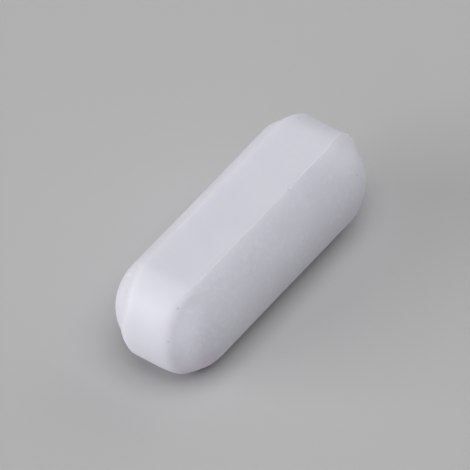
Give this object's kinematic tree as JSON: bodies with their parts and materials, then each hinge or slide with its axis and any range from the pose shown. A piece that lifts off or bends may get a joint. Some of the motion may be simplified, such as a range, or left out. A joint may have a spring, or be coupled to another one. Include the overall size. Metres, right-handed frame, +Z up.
{
  "type": "magnetic stir bar",
  "caption": "Capsule-shaped magnetic stir bar: a smooth white fluoropolymer casing with a flat band and domed sides, moulded over a sealed bar magnet.",
  "frame": {"origin": "on the supporting surface, straight below the middle of the bar, on the upright axis it spins about", "axes": "+X along the bar, +Y across it from one domed side to the other, +Z up out of the top flat"},
  "size_m": [0.022, 0.0084, 0.0081],
  "materials": {
    "casing": "smooth, faintly waxy sintered white fluoropolymer with a soft satin sheen",
    "magnet": "dull grey cast magnet alloy, ground on the outside"
  },
  "bodies": {
    "root": {"casing": "casing", "magnet": "magnet"}
  },
  "joints": []
}
